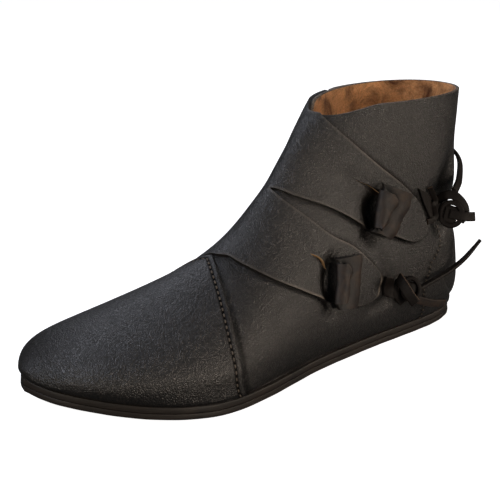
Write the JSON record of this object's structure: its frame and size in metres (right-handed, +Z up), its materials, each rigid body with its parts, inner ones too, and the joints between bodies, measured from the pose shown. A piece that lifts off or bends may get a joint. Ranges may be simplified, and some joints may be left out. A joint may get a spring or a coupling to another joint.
{
  "type": "leather ankle shoe",
  "caption": "Low-soled leather ankle shoe with a hollow upper, a wrap of two tongues closed by rolled toggles, and knotted thongs.",
  "frame": {"origin": "on the floor under the middle of the shoe's box, measured without its thongs", "axes": "+X towards the heel, -X towards the toe, -Y towards the outer side of the foot, +Z up"},
  "size_m": [0.2899, 0.102, 0.142],
  "materials": {
    "upper_leather": "grained, waxed, soft satin",
    "sole_leather": "burnished edge, matt face",
    "lining_leather": "undyed flesh side, napped",
    "trim_leather": "cut strips, suede edges"
  },
  "bodies": {
    "root": {"outsole": "sole_leather", "midsole": "sole_leather", "insole": "lining_leather", "upper": "upper_leather", "front_wrap": "upper_leather", "upper_toggle": "trim_leather", "lower_toggle": "trim_leather", "upper_strap": "trim_leather", "lower_strap": "trim_leather", "upper_thong_knot": "trim_leather", "lower_thong_knot": "trim_leather", "upper_thong_loop": "trim_leather", "upper_thong_end": "trim_leather", "lower_thong_tail": "trim_leather", "lower_thong_stub": "trim_leather"}
  },
  "joints": []
}
